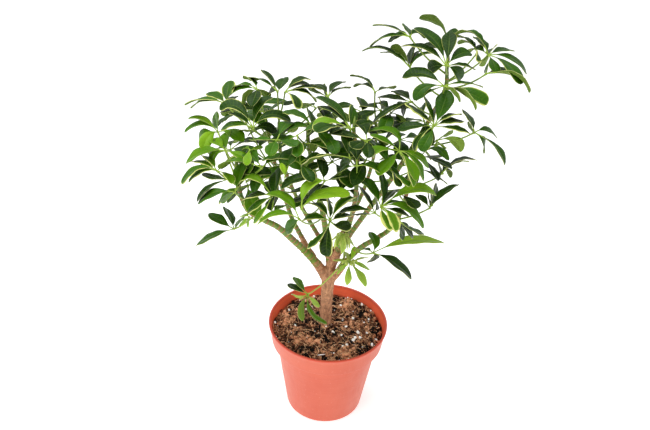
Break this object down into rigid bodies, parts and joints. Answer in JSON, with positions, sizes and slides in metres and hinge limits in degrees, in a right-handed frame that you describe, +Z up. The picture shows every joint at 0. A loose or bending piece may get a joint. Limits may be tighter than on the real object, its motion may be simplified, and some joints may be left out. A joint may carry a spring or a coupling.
{
  "type": "potted schefflera",
  "caption": "Branched umbrella plant with glossy, cream-edged leaves of radiating leaflets, growing from a short woody trunk in a terracotta-coloured nursery pot.",
  "frame": {"origin": "centre of the pot's flat underside, on the surface it stands on", "axes": "+Z up, -Y towards the side seen in front, +X to the right from there"},
  "size_m": [0.4337, 0.2947, 0.5791],
  "materials": {
    "pot_plastic": "smooth moulded terracotta-coloured plastic with a faint sheen",
    "potting_mix": "fibrous dark peat with white grains",
    "bark": "thin brown bark with leaf scars",
    "leaf": "glossy green blades with cream margins, on yellow-green stalks",
    "young_leaf": "soft lime-green young blades"
  },
  "bodies": {
    "root": {"pot": "pot_plastic", "soil": "potting_mix", "trunk": "bark", "shoot_left_low": "leaf", "shoot_left_high": "leaf", "shoot_back_left": "leaf", "shoot_middle": "leaf", "shoot_centre": "leaf", "shoot_right": "leaf", "shoot_back_right": "leaf", "shoot_top": "leaf", "shoot_young": "young_leaf"}
  },
  "joints": []
}
